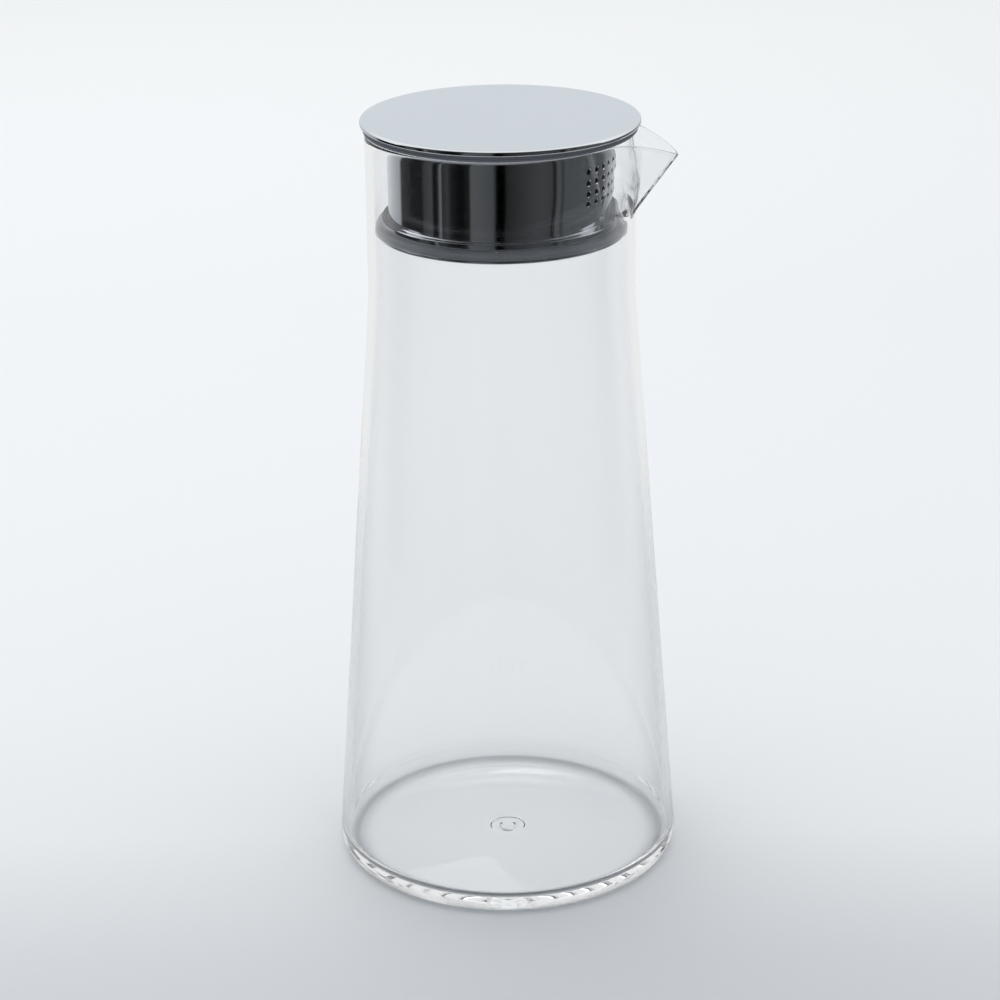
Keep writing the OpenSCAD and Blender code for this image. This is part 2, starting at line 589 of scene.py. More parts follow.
@dataclass(frozen=True)
class Piece:
    """A finished piece of the carafe and what it stands for.

    Edges that bend by more than crease, in degrees, are shaded sharp.
    """

    name: str
    node: str
    body: Body
    slot: Slot
    finish: Finish
    crease: float = 32.0

    def place(
        self, mesh: bmesh.types.BMesh, material: bpy.types.Material | None = None
    ) -> bpy.types.Object:
        """Turns a mesh into an object that takes its node's place.

        Args:
            mesh: The finished mesh, in metres in the carafe's frame.
            material: The finish's material, where it is already made.

        Returns:
            The object.
        """
        data = bpy.data.meshes.new(self.name)
        mesh.to_mesh(data)
        mesh.free()
        data.shade_smooth()
        data.set_sharp_from_angle(angle=math.radians(self.crease))
        data.materials.append(material or self.finish.make())
        data.polygons.foreach_set("material_index", [0] * len(data.polygons))
        made = bpy.data.objects.new(self.name, data)
        bpy.context.scene.collection.objects.link(made)
        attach(made, self.body.value)
        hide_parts(self.node)
        LOG.info("%s: %d faces on %s", self.name, len(data.polygons), self.body.value)
        return made


@dataclass
class CarafeBody:
    """The one-piece clear body, from its moulding pip to the lip of its spout.

    The angles are in degrees from the middle of the spout, whose cheeks meet the neck at mouth. Towards
    the lip the wall thins from wall to cheek, between thin_from and thin_to. column_power and row_power
    crowd the mesh towards the keel and the root.
    """

    base_r: float = 57.1
    neck_r: float = 42.25
    shoulder_z: float = 195.0
    rim_z: float = 246.2
    lip_rise: float = 0.3
    wall: float = 2.25
    floor_z: float = 3.8
    punt: float = 1.4
    foot_r: float = 46.0
    heel: float = 4.5
    floor_fillet: float = 5.0
    blend: float = 90.0
    pip_r: float = 2.4
    pip_h: float = 0.8
    ring_r: float = 5.5
    ring_dip: float = 0.5
    pip_edge: float = 0.4
    ring_edge: float = 0.3
    foot_edge: float = 5.0
    dome_rings: tuple[float, ...] = (10.0, 16.0, 22.0, 28.0, 33.0, 37.0, 40.0)
    tip_r: float = 56.2
    tip_drop: float = 5.2
    root_z: float = 221.3
    mouth: float = 21.6
    lip_power: float = 1.7
    cheek: float = 0.8
    thin_from: float = 80.0
    thin_to: float = 35.0
    keel_soft: float = 0.1
    thin_rise: float = 2.0
    flare: float = 9.0
    flare_rise: float = 1.8
    neck_columns: int = 216
    spout_columns: int = 48
    column_power: float = 1.4
    spout_rows: int = 26
    row_power: float = 1.6

    def outer_profile(self) -> list[Point]:
        """Profile of the outside, from under the middle to the root of the spout.

        Returns:
            Points in millimetres.
        """
        low, dip = self.punt - self.pip_h, self.punt + self.ring_dip
        corners = [
            Corner(0.0, low),
            Corner(self.pip_r, low, self.pip_edge),
            Corner(self.pip_r + self.ring_dip, dip, self.ring_edge),
            Corner(self.ring_r, dip, self.ring_edge),
            Corner(self.ring_r + self.ring_dip, self.dome(self.ring_r + self.ring_dip), self.pip_edge),
            *(Corner(r, self.dome(r)) for r in self.dome_rings),
            Corner(self.foot_r, 0.0, self.foot_edge),
            Corner(self.base_r, 0.0, self.heel),
            Corner(self.neck_r, self.shoulder_z, self.blend),
            Corner(self.neck_r, self.root_z),
        ]
        return refine(trace(corners, step=5.0), longest=4.0)

    def inner_profile(self) -> list[Point]:
        """Profile of the inside, from the root of the spout down to the middle of the floor.

        Returns:
            Points in millimetres.
        """
        taper = (self.base_r - self.neck_r) / self.shoulder_z
        side = self.base_r - self.wall - taper * self.floor_z
        corners = [
            Corner(self.bore_r, self.inner_root_z),
            Corner(self.bore_r, self.shoulder_z, self.blend),
            Corner(side, self.floor_z, self.floor_fillet),
            Corner(0.0, self.floor_z),
        ]
        return refine(trace(corners, step=5.0), longest=4.0)

    def dome(self, r: float) -> float:
        """Height of the hollow under the floor at a radius."""
        return self.punt * (1.0 - (r / self.foot_r) ** 2)

    @property
    def bore_r(self) -> float:
        """Inner radius of the neck."""
        return self.neck_r - self.wall

    @property
    def lip_z(self) -> float:
        """Height where the rounding of the rim starts."""
        return self.rim_z - self.wall / 2.0

    @property
    def crest_z(self) -> float:
        """Height where the rounding of the lip starts next to the neck."""
        return self.rim_z + self.lip_rise - self.cheek / 2.0

    @property
    def tip_z(self) -> float:
        """Height where the rounding of the lip starts at the tip."""
        return self.crest_z - self.tip_drop

    @property
    def cheek_angle(self) -> float:
        """Angle between a cheek and the spout's middle plane, in radians."""
        mouth = math.radians(self.mouth)
        return math.atan2(self.neck_r * math.sin(mouth), self.tip_r - self.neck_r * math.cos(mouth))

    @property
    def inner_tip_r(self) -> float:
        """Radius of the inside of the tip."""
        return self.tip_r - self.cheek / math.sin(self.cheek_angle)

    @property
    def inner_root_z(self) -> float:
        """Height of the inner root, which keeps the keel parallel inside and outside."""
        fall = (self.tip_r - self.neck_r) / (self.tip_z - self.root_z)
        return self.tip_z - (self.inner_tip_r - self.bore_r) / fall

    def opening(self, keel: float, radius: float) -> float:
        """Angle from the middle plane to where the flat cheeks of a keel meet the neck, in radians.

        Args:
            keel: Radius of the keel, in millimetres.
            radius: Radius of the neck.

        Returns:
            The angle, or nought where the keel lies inside the neck.
        """
        if keel <= radius:
            return 0.0
        return math.asin(min(1.0, keel * math.sin(self.cheek_angle) / radius)) - self.cheek_angle

    def ring(self, t: float, radius: float, z: float, tip: float, root: float, thin: float = 0.0) -> Ring:
        """One ring of points round the neck and the spout.

        Args:
            t: How far up the spout the ring lies, from 0 at the root to 1 at the lip.
            radius: Radius of the neck there, in millimetres.
            z: Height of the ring where there is no spout.
            tip: Radius of the tip on this side of the wall.
            root: Height of the root on this side of the wall.
            thin: How much further out the neck is next to the spout.

        Returns:
            Points in metres.
        """
        keel = radius + (tip - radius) * t
        opening = self.opening(keel, radius + thin)
        crease = Vector((math.cos(opening), math.sin(opening))) * (radius + thin)
        blunt = self.keel_soft
        points: Ring = []
        for j in range(self.spout_columns + 1):
            q = 2.0 * j / self.spout_columns - 1.0
            aside = abs(q) ** self.column_power
            f = 1.0 - (math.hypot(aside, blunt) - blunt) / (math.hypot(1.0, blunt) - blunt)
            height = self.crest_z - self.tip_drop * f**self.lip_power
            rise = z if t <= 0.0 else root + t * (height - root)
            across = math.copysign(crease.y * aside, q)
            points.append(Vector((crease.x + (keel - crease.x) * f, across, rise)) * MM)
        span = 2.0 * math.pi - 2.0 * opening
        for k in range(1, self.neck_columns + 1):
            a = opening + span * k / (self.neck_columns + 1)
            away = math.degrees(min(a, 2.0 * math.pi - a))
            share = ease((self.thin_from - away) / (self.thin_from - self.thin_to))
            r = radius + thin * share
            rise = z + t * (self.crest_z - self.lip_z) * share
            points.append(Vector((r * math.cos(a), r * math.sin(a), rise)) * MM)
        for edge in (0, self.spout_columns):
            self.soften(points, edge, self.flare * min(1.0, self.flare_rise * t) * MM)
        return points

    @staticmethod
    def soften(points: Ring, crease: int, reach: float, window: int = 40, taps: int = 9) -> None:
        """Rounds a crease where a cheek leaves the neck, by averaging along the ring.

        Args:
            points: The ring's points in metres, which are moved.
            crease: Number of the point on the crease.
            reach: How far the rounding goes on either side, in metres.
            window: How many points on either side to look at.
            taps: How many places each average takes.
        """
        if reach <= 0.0:
            return
        near = [(crease + k) % len(points) for k in range(-window, window + 1)]
        line = [points[i].copy() for i in near]
        runs = [0.0]
        for before, after in zip(line, line[1:]):
            runs.append(runs[-1] + (after - before).length)
        middle = runs[window]

        def spot(run: float) -> Vector:
            """Point of the old line at a distance along it."""
            k = min(max(bisect.bisect_right(runs, run), 1), len(runs) - 1)
            return line[k - 1].lerp(line[k], (run - runs[k - 1]) / max(runs[k] - runs[k - 1], TINY))

        for i, run in zip(near, runs):
            half = (reach**2 - (run - middle) ** 2) / (2.0 * reach)
            if half > 0.0:
                spread = [spot(run + half * (2.0 * k / (taps - 1) - 1.0)) for k in range(taps)]
                points[i] = sum(spread, Vector()) / taps

    def spout_rings(self, radius: float, tip: float, root: float, thin: float = 0.0) -> list[Ring]:
        """Rings from just above the root to the lip.

        Args:
            radius: Radius of the neck, in millimetres.
            tip: Radius of the tip.
            root: Height of the root.
            thin: How much further out the neck is next to the spout, at the lip.

        Returns:
            The rings, from low to high.
        """
        rings: list[Ring] = []
        for i in range(1, self.spout_rows + 1):
            t = (i / self.spout_rows) ** self.row_power
            z = root + t * (self.lip_z - root)
            rings.append(self.ring(t, radius, z, tip, root, thin * ease(self.thin_rise * t)))
        return rings

    def lip_rings(self, outer: Ring, inner: Ring, steps: int = 10) -> list[Ring]:
        """Rings that round the lip over from the outside to the inside.

        Args:
            outer: Top ring of the outside.
            inner: Top ring of the inside.
            steps: Steps over the rounding.

        Returns:
            The rings between the two.
        """
        rings: list[Ring] = []
        for i in range(1, steps):
            angle = math.pi * i / steps
            ring: Ring = []
            for a, b in zip(outer, inner):
                rise = min((a - b).length, self.wall * MM) / 2.0
                over = Vector((0.0, 0.0, rise * math.sin(angle)))
                ring.append((a + b) / 2.0 + (a - b) / 2.0 * math.cos(angle) + over)
            rings.append(ring)
        return rings

    def build(self) -> bmesh.types.BMesh:
        """Makes the wall of the body as one closed surface.

        Returns:
            The mesh.
        """
        low = [self.ring(0.0, r, z, self.tip_r, self.root_z) for r, z in self.outer_profile()]
        high = self.spout_rings(self.neck_r, self.tip_r, self.root_z)
        tip, root, thin = self.inner_tip_r, self.inner_root_z, self.wall - self.cheek
        bore = self.spout_rings(self.bore_r, tip, root, thin)[::-1]
        deep = [self.ring(0.0, r, z, tip, root) for r, z in self.inner_profile()]
        return skin(low + high + self.lip_rings(high[-1], bore[0]) + bore + deep, loop=False)

    def dress(self) -> bpy.types.Object:
        """Builds the body and gives it its finish."""
        piece = Piece("clear_body", "carafe_body", Body.CARAFE, Slot.CLEAR, ClearPlastic("clear_plastic"))
        return piece.place(self.build())


@dataclass
class LidCover:
    """The plated cover, a thin disc with a rounded edge and a faint crown."""

    radius: float = 43.7
    low_z: float = 248.4
    high_z: float = 250.1
    crown: float = 0.02
    edge: float = 1.0
    rim: float = 0.5
    crown_rings: int = 12
    columns: int = 240

    def build(self) -> bmesh.types.BMesh:
        """Turns the cover.

        Returns:
            The mesh.
        """
        steps = self.crown_rings
        crown = [
            Corner(self.radius * k / steps, self.high_z - self.crown * (k / steps) ** 2)
            for k in range(steps)
        ]
        corners = crown + [
            Corner(self.radius, self.high_z - self.crown, self.edge),
            Corner(self.radius, self.low_z, self.rim),
            Corner(0.0, self.low_z),
        ]
        profile = refine(trace(corners), longest=4.0)
        return skin(turned_rings(profile, even_angles(self.columns)), loop=False)

    def dress(self) -> bpy.types.Object:
        """Builds the cover and gives it its finish."""
        finish = BrightPlating("plated_cover", polish=0.05, smear=0.08)
        return Piece("plated_cover", "lid_cover", Body.LID, Slot.COVER, finish).place(self.build())


@dataclass
class LidCore:
    """The plain plate under the cover, with two beads round its edge and the sleeve for the band."""

    plate_r: float = 42.8
    low_z: float = 246.6
    high_z: float = 248.38
    groove: float = 0.4
    slit: float = 0.05
    sleeve_r: float = 33.35
    sleeve_bore: float = 31.35
    sleeve_z: float = 240.05
    sleeve_edge: float = 0.4
    nook: float = 0.1
    fillet: float = 1.0
    columns: int = 216

    def build(self) -> bmesh.types.BMesh:
        """Turns the plate and its sleeve.

        Returns:
            The mesh.
        """
        middle = (self.low_z + self.high_z) / 2.0
        corners = [
            Corner(0.0, self.high_z),
            Corner(self.plate_r, self.high_z, self.groove),
            Corner(self.plate_r, middle + self.slit, self.groove),
            Corner(self.plate_r - self.groove, middle, self.slit),
            Corner(self.plate_r, middle - self.slit, self.groove),
            Corner(self.plate_r, self.low_z, self.groove),
            Corner(self.sleeve_r, self.low_z, self.nook),
            Corner(self.sleeve_r, self.sleeve_z, self.sleeve_edge),
            Corner(self.sleeve_bore, self.sleeve_z, self.sleeve_edge),
            Corner(self.sleeve_bore, self.low_z, self.fillet),
            Corner(0.0, self.low_z),
        ]
        profile = refine(trace(corners), longest=4.0)
        return skin(turned_rings(profile, even_angles(self.columns)), loop=False)

    def dress(self) -> bpy.types.Object:
        """Builds the plate and gives it its finish."""
        finish = MouldedPlastic("core_plastic")
        return Piece("inner_plate", "lid_core", Body.LID, Slot.CORE, finish).place(self.build())


@dataclass
class StrainerHoles:
    """The patch of strainer holes, one tile with a hole repeated over a curved grid.

    The columns are turn apart, in degrees, and the rows are pitch apart. A tile has side edges to a side.
    """

    radius: float
    bore: float
    middle_z: float
    hole_d: float = 1.8
    chamfer: float = 0.18
    rows: int = 4
    columns: int = 9
    pitch: float = 3.5
    turn: float = 6.8
    side: int = 6

    @property
    def width(self) -> float:
        """Width of a tile along the outer wall."""
        return self.radius * math.radians(self.turn)

    def tile(self) -> bpy.types.Mesh:
        """Makes one flat tile with its hole.

        Returns:
            The tile, with its length along X, its height along Y and its depth along Z, in metres.
        """
        mesh = bmesh.new()
        depth = self.radius - self.bore
        w, h, n = self.width / 2.0, self.pitch / 2.0, self.side
        edge = [(-w + 2 * w * k / n, -h) for k in range(n)] + [(w, -h + 2 * h * k / n) for k in range(n)]
        edge += [(w - 2 * w * k / n, h) for k in range(n)] + [(-w, h - 2 * h * k / n) for k in range(n)]
        spokes = [math.atan2(y, x) for x, y in edge]
        r = self.hole_d / 2.0
        levels = [
            [(x, y, depth) for x, y in edge],
            [((r + self.chamfer) * math.cos(a), (r + self.chamfer) * math.sin(a), depth) for a in spokes],
            [(r * math.cos(a), r * math.sin(a), depth - self.chamfer) for a in spokes],
            [(r * math.cos(a), r * math.sin(a), 0.0) for a in spokes],
            [(x, y, 0.0) for x, y in edge],
        ]
        rows = [[mesh.verts.new(Vector(p) * MM) for p in level] for level in levels]
        for low, high in zip(rows, rows[1:]):
            for j in range(len(spokes)):
                k = (j + 1) % len(spokes)
                mesh.faces.new((low[j], low[k], high[k], high[j]))
        data = bpy.data.meshes.new("strainer_tile")
        mesh.to_mesh(data)
        mesh.free()
        return data

    def tree(self) -> tuple[bpy.types.GeometryNodeTree, dict[str, str]]:
        """Makes the nodes that repeat the tile and bend the grid round the band.

        Returns:
            The tree and the identifiers of its inputs by name.
        """
        tree = bpy.data.node_groups.new("strainer_holes", "GeometryNodeTree")
        graph = Graph(tree)
        face = tree.interface
        face.new_socket("Geometry", in_out="INPUT", socket_type="NodeSocketGeometry")
        face.new_socket("Geometry", in_out="OUTPUT", socket_type="NodeSocketGeometry")
        kinds = {"Columns": "Int", "Rows": "Int", "Width": "Float", "Pitch": "Float", "Radius": "Float"}
        kinds |= {"Bore": "Float", "Middle": "Float", "Material": "Material"}
        names = {
            name: face.new_socket(name, in_out="INPUT", socket_type=f"NodeSocket{kind}").identifier
            for name, kind in kinds.items()
        }
        given = {name: graph.node("NodeGroupInput", output=name) for name in ("Geometry", *kinds)}
        sizes = {
            "Size X": given["Width"] * (given["Columns"] - 1.0),
            "Size Y": given["Pitch"] * (given["Rows"] - 1.0),
            "Vertices X": given["Columns"],
            "Vertices Y": given["Rows"],
        }
        grid = graph.node("GeometryNodeMeshGrid", {}, sizes)
        tiles = graph.node(
            "GeometryNodeInstanceOnPoints", {}, {"Points": grid, "Instance": given["Geometry"]}
        )
        solid = graph.node("GeometryNodeRealizeInstances", {}, {"Geometry": tiles})
        welded = graph.node("GeometryNodeMergeByDistance", {}, {"Geometry": solid, "Distance": WELD})
        along, up, deep = graph.split(graph.node("GeometryNodeInputPosition"))
        angle = along / given["Radius"]
        reach = given["Bore"] + deep
        bent = {
            "X": reach * graph.node("ShaderNodeMath", {"operation": "COSINE"}, {0: angle}),
            "Y": reach * graph.node("ShaderNodeMath", {"operation": "SINE"}, {0: angle}),
            "Z": given["Middle"] + up,
        }
        place = graph.node("ShaderNodeCombineXYZ", {}, bent)
        curved = graph.node("GeometryNodeSetPosition", {}, {"Geometry": welded, "Position": place})
        dressed = graph.node(
            "GeometryNodeSetMaterial", {}, {"Geometry": curved, "Material": given["Material"]}
        )
        graph.node("NodeGroupOutput", {}, {"Geometry": dressed})
        return tree, names

    def build(self, material: bpy.types.Material) -> bpy.types.Mesh:
        """Runs the nodes on the tile.

        Args:
            material: The finish that the nodes set.

        Returns:
            The curved patch as a plain mesh, in metres.
        """
        holder = bpy.data.objects.new("strainer_patch", self.tile())
        bpy.context.scene.collection.objects.link(holder)
        tree, names = self.tree()
        modifier = holder.modifiers.new("strainer_holes", "NODES")
        modifier.node_group = tree
        values = {
            "Columns": self.columns,
            "Rows": self.rows,
            "Width": self.width * MM,
            "Pitch": self.pitch * MM,
            "Radius": self.radius * MM,
            "Bore": self.bore * MM,
            "Middle": self.middle_z * MM,
            "Material": material,
        }
        for name, value in values.items():
            modifier[names[name]] = value
        evaluated = holder.evaluated_get(bpy.context.evaluated_depsgraph_get())
        patch = bpy.data.meshes.new_from_object(evaluated)
        bpy.data.objects.remove(holder)
        return patch


@dataclass
class StrainerBand:
    """The plated band in the neck, with its strainer holes and the lip above the seal."""

    radius: float = 35.4
    bore: float = 33.4
    low_z: float = 218.2
    high_z: float = 246.6
    lip_r: float = 37.6
    lip_h: float = 1.7
    lip_edge: float = 0.4
    under_edge: float = 0.25
    top_step: float = 0.5
    hole_drop: float = 13.5
    bright_depth: float = 0.15
    longest: float = 1.5

    def holes(self) -> StrainerHoles:
        """The patch of holes that this band carries."""
        return StrainerHoles(self.radius, self.bore, self.high_z - self.hole_drop)

    def build(self, material: bpy.types.Material) -> bmesh.types.BMesh:
        """Turns the band round a window and fills the window with the strainer holes.

        Args:
            material: The finish of the holes.

        Returns:
            The mesh.
        """
        holes = self.holes()
        half_turn = math.radians(holes.turn) * holes.columns / 2.0
        inside = holes.columns * holes.side
        step = 2.0 * half_turn / inside
        outside = round((2.0 * math.pi - 2.0 * half_turn) / step)
        angles = [-half_turn + step * k for k in range(inside)]
        angles += [half_turn + (2.0 * math.pi - 2.0 * half_turn) * k / outside for k in range(outside)]
        half = holes.rows * holes.pitch / 2.0
        cells = holes.rows * holes.side
        window = [holes.middle_z - half + 2.0 * half * k / cells for k in range(cells + 1)]
        foot = trace(
            [
                Corner(self.bore, self.low_z),
                Corner(self.lip_r, self.low_z, self.under_edge),
                Corner(self.lip_r, self.low_z + self.lip_h, self.lip_edge),
                Corner(self.radius, self.low_z + self.lip_h, self.lip_edge),
                Corner(self.radius, window[0]),
            ]
        )
        outer = refine(foot, self.longest) + [(self.radius, z) for z in window[1:]]
        outer += refine([(self.radius, window[-1]), (self.radius, self.high_z)], self.longest)[1:]
        inner = [(self.bore, self.high_z)]
        inner += refine([(self.bore, self.high_z - self.top_step), (self.bore, window[-1])], self.longest)
        inner += [(self.bore, z) for z in window[-2::-1]]
        inner += refine([(self.bore, window[0]), (self.bore, self.low_z)], self.longest)[1:-1]
        points = outer + inner

        def in_window(row: int, column: int) -> bool:
            """Says whether a face lies where the holes go.

            Args:
                row: Number of the face's first ring.
                column: Number of its first column.

            Returns:
                True where the face is left out.
            """
            a, b = points[row], points[(row + 1) % len(points)]
            upright = abs(a[0] - b[0]) < NEARLY
            middle = (a[1] + b[1]) / 2.0
            return upright and column < inside and window[0] < middle < window[-1]

        mesh = skin(turned_rings(points, angles), loop=True, gap=in_window)
        patch = holes.build(material)
        mesh.from_mesh(patch)
        bpy.data.meshes.remove(patch)
        settle(mesh)
        return mesh

    def dress(self) -> bpy.types.Object:
        """Builds the band and gives it its finish.

        Returns:
            The band.
        """
        # Inside this radius the plating gets painted shade, in the holes and on the inner wall, while the
        # outer wall stays bright.
        bright_from = self.radius - self.bright_depth
        finish = BrightPlating("plated_band", polish=0.012, smear=0.02, bright_from=bright_from)
        piece = Piece("strainer_plug", "strainer_band", Body.LID, Slot.BAND, finish)
        material = finish.make()
        made = piece.place(self.build(material), material)
        self.true_up(made.data)
        return made

    def true_up(self, data: bpy.types.Mesh) -> None:
        """Shades the outer wall as a true cylinder, right up to the rims of the holes.

        Args:
            data: The band's mesh, whose corner normals are set.
        """
        normals = [Vector()] * len(data.loops)
        for face in data.polygons:
            points = [data.vertices[i].co for i in face.vertices]
            spread = max(abs(math.hypot(p.x, p.y) - self.radius * MM) for p in points)
            if spread < NEARLY:
                for loop, p in zip(face.loop_indices, points):
                    normals[loop] = Vector((p.x, p.y, 0.0)).normalized()
        data.normals_split_custom_set(normals)


@dataclass
class SealCarrier:
    """The plated ring that closes the bottom of the band and holds the seal from below."""

    bore: float = 31.35
    sleeve_r: float = 33.35
    hub_r: float = 35.4
    lip_r: float = 38.6
    low_z: float = 214.1
    lip_t: float = 0.9
    hub_z: float = 218.2
    sleeve_z: float = 226.15
    edge: float = 0.4
    under_edge: float = 0.35
    lip_edge: float = 0.3
    groove_edge: float = 0.2
    nook: float = 0.1
    columns: int = 216

    def build(self) -> bmesh.types.BMesh:
        """Turns the ring.

        Returns:
            The mesh.
        """
        corners = [
            Corner(self.bore, self.low_z, self.edge),
            Corner(self.lip_r, self.low_z, self.under_edge),
            Corner(self.lip_r, self.low_z + self.lip_t, self.lip_edge),
            Corner(self.hub_r, self.low_z + self.lip_t, self.groove_edge),
            Corner(self.hub_r, self.hub_z, self.nook),
            Corner(self.sleeve_r, self.hub_z, self.nook),
            Corner(self.sleeve_r, self.sleeve_z, self.edge),
            Corner(self.bore, self.sleeve_z, self.edge),
        ]
        profile = refine(trace(corners, closed=True), longest=2.0, closed=True)
        return skin(turned_rings(profile, even_angles(self.columns)), loop=True)

    def dress(self) -> bpy.types.Object:
        """Builds the ring and gives it its finish."""
        finish = BrightPlating("plated_ring", polish=0.05, smear=0.06)
        return Piece("seal_holder", "seal_carrier", Body.LID, Slot.RING, finish).place(self.build())


@dataclass
class PlugSeal:
    """The silicone ring in the lid's groove, rounded where it wipes the neck."""

    bore: float = 35.7
    radius: float = 39.7
    low_z: float = 215.3
    high_z: float = 217.9
    edge: float = 0.9
    bore_edge: float = 0.3
    columns: int = 216

    def build(self) -> bmesh.types.BMesh:
        """Turns the ring.

        Returns:
            The mesh.
        """
        corners = [
            Corner(self.bore, self.low_z, self.bore_edge),
            Corner(self.radius, self.low_z, self.edge),
            Corner(self.radius, self.high_z, self.edge),
            Corner(self.bore, self.high_z, self.bore_edge),
        ]
        profile = refine(trace(corners, closed=True), longest=1.0, closed=True)
        return skin(turned_rings(profile, even_angles(self.columns)), loop=True)

    def dress(self) -> bpy.types.Object:
        """Builds the ring and gives it its finish."""
        finish = SealRubber("seal_silicone")
        return Piece("wiper_seal", "plug_seal", Body.SEAL, Slot.SEAL, finish).place(self.build())


@dataclass(frozen=True)
class TableTop(Finish):
    """Pale matt table with painted shade that darkens it softly towards the front.

    A painted pool of light glows under the clear base, for the light it gathers onto the table. The table
    is cut short where it is mirrored. Its stops run from front, a distance before the carafe's axis, over
    span.
    """

    near: float = 0.2
    reach: float = 0.5
    matt: float = 0.7
    tooth: float = 0.1
    front: float = 0.2
    span: float = 1.6
    # Painted shade: these stops darken the table towards the front, for light falling off away from the
    # lamp behind.
    stops: tuple[tuple[float, Colour], ...] = (
        (0.050, (0.67, 0.69, 0.72, 1.0)),
        (0.075, (0.71, 0.74, 0.77, 1.0)),
        (0.125, (0.855, 0.885, 0.91, 1.0)),
        (0.190, (0.89, 0.92, 0.945, 1.0)),
        (0.500, (0.88, 0.91, 0.935, 1.0)),
        (0.930, (0.95, 0.97, 0.975, 1.0)),
    )
    # Colour of the painted pool of light under the clear base.
    painted_glow_colour: Colour = (0.45, 0.458, 0.465, 1.0)
    caught_r: float = 0.045
    caught_fade: float = 0.01

    def surface(self, graph: Graph) -> Wire:
        """Matt surface with painted shade in a slow change of tone, and a painted pool of light.

        Args:
            graph: The material's graph.

        Returns:
            The shader.
        """
        place = graph.place()
        _, depth, _ = graph.split(graph.in_room(place))
        along = (depth + self.front) / self.span
        grain = graph.noise(place, scale=600.0, detail=3.0)
        distance = graph.length(place)
        under = graph.ramp(distance, self.caught_r, self.caught_r + self.caught_fade, 1.0, 0.0)
        sockets = {
            # Painted shade: the ramp darkens the colour towards the front.
            "Base Color": graph.node("ShaderNodeValToRGB", {"stops": self.stops}, {0: along}),
            "Roughness": self.matt + grain * self.tooth,
            # Painted light: an emitted glow under the base, for the light that the clear base gathers onto
            # the table.
            "Emission Color": graph.blend(under, (0.0, 0.0, 0.0, 1.0), self.painted_glow_colour),
            "Emission Strength": 1.0,
            "Normal": graph.bump(grain, strength=0.03, distance=0.0002),
        }
        matt = graph.node("ShaderNodeBsdfPrincipled", {}, sockets)
        far = graph.ramp(distance, self.near, self.reach)
        away = graph.node("ShaderNodeBsdfTransparent")
        return graph.node("ShaderNodeMixShader", {}, {0: graph.mirrored() * far, 1: matt, 2: away})


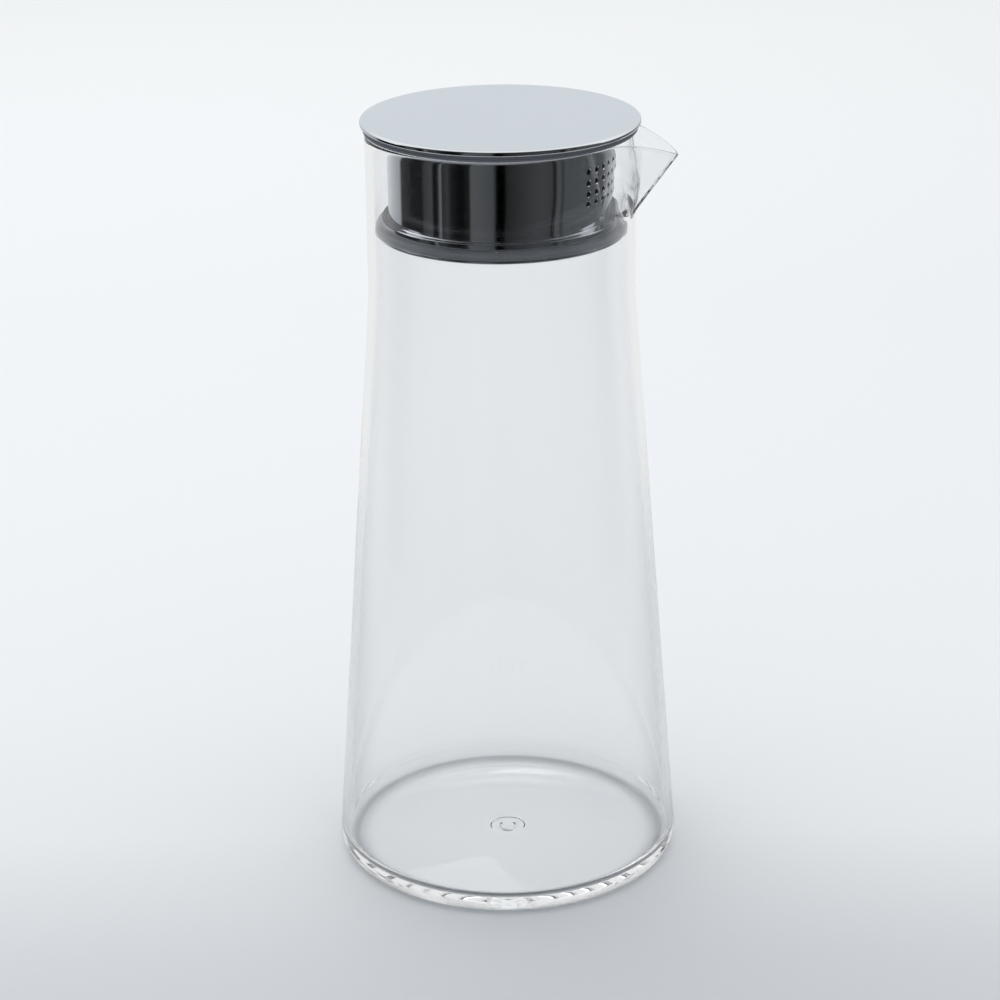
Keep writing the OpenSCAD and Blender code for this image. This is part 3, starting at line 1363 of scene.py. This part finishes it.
@dataclass
class Studio:
    """The pale table, the soft light and the camera of the photograph.

    Shiny surfaces mirror a room. The tones in room go by bearing, in degrees from the camera's side, and
    the colours in sky and inner_sky by the climb from the camera's side over the carafe, in radians.
    """

    pitch: float = math.radians(21.673)
    roll: float = math.radians(-0.652)
    distance: float = 0.8499
    height: float = 0.460
    aside: float = -0.0014
    lens: float = 100.8
    sensor: float = 36.0
    bounces: int = 100
    fill: Colour = (0.82, 0.825, 0.83, 1.0)
    sky: tuple[tuple[float, Colour], ...] = (
        (1.70, (0.98, 0.99, 1.0, 1.0)),
        (2.50, (0.98, 0.99, 1.0, 1.0)),
        (2.78, (0.74, 0.785, 0.815, 1.0)),
    )
    inner_sky: tuple[tuple[float, Colour], ...] = (
        (1.70, (0.60, 0.62, 0.64, 1.0)),
        (2.30, (0.60, 0.62, 0.64, 1.0)),
        (2.45, (0.08, 0.085, 0.09, 1.0)),
    )
    sky_from: float = 1.15
    sky_to: float = 1.7
    sides_from: float = 1.5
    sides_to: float = 2.1
    wall_crossings: float = 3.5
    table_half: float = 3.0
    table_cells: int = 8
    table_gap: float = 0.0003
    lamp_power: float = 5.0
    lamp_size: tuple[float, float] = (1.4, 1.0)
    lamp_place: tuple[float, float, float] = (-0.45, 0.75, 1.35)
    lamp_aim: tuple[float, float, float] = (0.0, 0.0, 0.1)
    cast: tuple[float, float, float] = (0.955, 1.01, 1.05)
    room: tuple[tuple[float, float], ...] = (
        (-180.0, 0.78),
        (-150.0, 0.60),
        (-121.0, 0.36),
        (-117.5, 0.010),
        (-86.0, 0.010),
        (-82.0, 0.055),
        (-73.0, 0.060),
        (-70.5, 0.004),
        (-66.5, 0.004),
        (-64.5, 0.060),
        (-62.5, 0.200),
        (-60.5, 0.030),
        (-55.0, 0.045),
        (-50.0, 0.012),
        (-42.0, 0.004),
        (-31.5, 0.006),
        (-30.0, 0.100),
        (-8.0, 0.068),
        (-5.0, 0.000),
        (2.0, 0.000),
        (3.5, 0.018),
        (35.0, 0.056),
        (48.0, 0.050),
        (50.5, 0.010),
        (52.5, 0.012),
        (55.0, 0.085),
        (58.5, 0.085),
        (61.0, 0.035),
        (65.0, 0.080),
        (125.0, 0.090),
        (150.0, 0.40),
        (180.0, 0.78),
    )

    def camera(self) -> None:
        """Sets the camera where the photograph was taken."""
        data = bpy.data.cameras.new("view")
        data.lens, data.sensor_width, data.sensor_height = self.lens, self.sensor, self.sensor
        made = bpy.data.objects.new("view", data)
        bpy.context.scene.collection.objects.link(made)
        turn = Matrix.Rotation(HEADING, 4, "Z")
        stand = Matrix.Translation(Vector((self.aside, -self.distance, self.height)))
        tilt = Matrix.Rotation(math.pi / 2.0 - self.pitch, 4, "X")
        made.matrix_world = turn @ stand @ tilt @ Matrix.Rotation(self.roll, 4, "Z")
        bpy.context.scene.camera = made

    def table(self) -> None:
        """Lays the table just under the foot."""
        mesh = bmesh.new()
        cells = self.table_cells
        bmesh.ops.create_grid(mesh, x_segments=cells, y_segments=cells, size=self.table_half)
        bmesh.ops.translate(mesh, verts=mesh.verts, vec=(0.0, 0.0, -self.table_gap))
        data = bpy.data.meshes.new("table")
        mesh.to_mesh(data)
        mesh.free()
        data.materials.append(TableTop("pale_table").make())
        made = bpy.data.objects.new("table", data)
        bpy.context.scene.collection.objects.link(made)

    def lamps(self) -> None:
        """Hangs one broad lamp above and behind the carafe."""
        data = bpy.data.lights.new("softbox", "AREA")
        data.shape, data.energy = "RECTANGLE", self.lamp_power
        data.size, data.size_y = self.lamp_size
        made = bpy.data.objects.new("softbox", data)
        bpy.context.scene.collection.objects.link(made)
        spot = Matrix.Rotation(HEADING, 4, "Z") @ Vector(self.lamp_place)
        aim = (Vector(self.lamp_aim) - spot).to_track_quat("-Z", "Y")
        made.matrix_world = Matrix.Translation(spot) @ aim.to_matrix().to_4x4()
        made.visible_glossy = False

    def world(self) -> None:
        """Surrounds the scene with plain light, and shows what is mirrored a room with a dark front.

        Perfectly sharp reflections, which are the plastic's, see pale sides. What is mirrored inside the
        neck, in and out through its clear wall, has a dimmer sky.
        """
        world = bpy.data.worlds.new("studio")
        world.use_nodes = True
        graph = Graph(world.node_tree)
        ray = graph.node("ShaderNodeTexCoord", output="Generated")
        across, ahead, up = graph.split(graph.in_room(ray))
        bearing, climb = (
            graph.node("ShaderNodeMath", {"operation": "ARCTAN2"}, {0: part, 1: 0.0 - ahead})
            for part in (across, up)
        )
        red, green, blue = self.cast
        stripes = [
            ((degrees + 180.0) / 360.0, (tone * red, tone * green, tone * blue, 1.0))
            for degrees, tone in self.room
        ]
        walls = graph.node("ShaderNodeValToRGB", {"stops": stripes}, {0: bearing / (2.0 * math.pi) + 0.5})
        sky, inner_sky = (
            graph.node(
                "ShaderNodeValToRGB",
                {"stops": [(at / math.pi, colour) for at, colour in stops]},
                {0: climb / math.pi},
            )
            for stops in (self.sky, self.inner_sky)
        )
        above = graph.ramp(climb, self.sky_from, self.sky_to)
        beside = graph.ramp(bearing * bearing, self.sides_from**2, self.sides_to**2)
        sides = graph.blend(beside * graph.path("Is Singular Ray"), walls, self.fill)
        outside, inside = graph.blend(above, sides, sky), graph.blend(above, walls, inner_sky)
        room = graph.blend(graph.path("Transmission Depth") > self.wall_crossings, outside, inside)
        colour = graph.blend(graph.mirrored(), self.fill, room)
        light = graph.node("ShaderNodeBackground", {}, {"Color": colour, "Strength": 1.0})
        graph.node("ShaderNodeOutputWorld", {}, {"Surface": light})
        bpy.context.scene.world = world

    def build(self) -> None:
        """Sets up the whole studio."""
        self.camera()
        self.table()
        self.lamps()
        self.world()
        scene = bpy.context.scene
        scene.view_settings.view_transform = "Standard"
        scene.cycles.max_bounces = self.bounces
        scene.cycles.glossy_bounces = scene.cycles.transmission_bounces = self.bounces


def main() -> None:
    """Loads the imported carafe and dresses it."""
    logging.basicConfig(level=logging.INFO, format="%(name)s: %(message)s")
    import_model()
    for part in (CarafeBody(), LidCover(), LidCore(), StrainerBand(), SealCarrier(), PlugSeal()):
        part.dress()
    Studio().build()


if __name__ == "__main__":
    main()
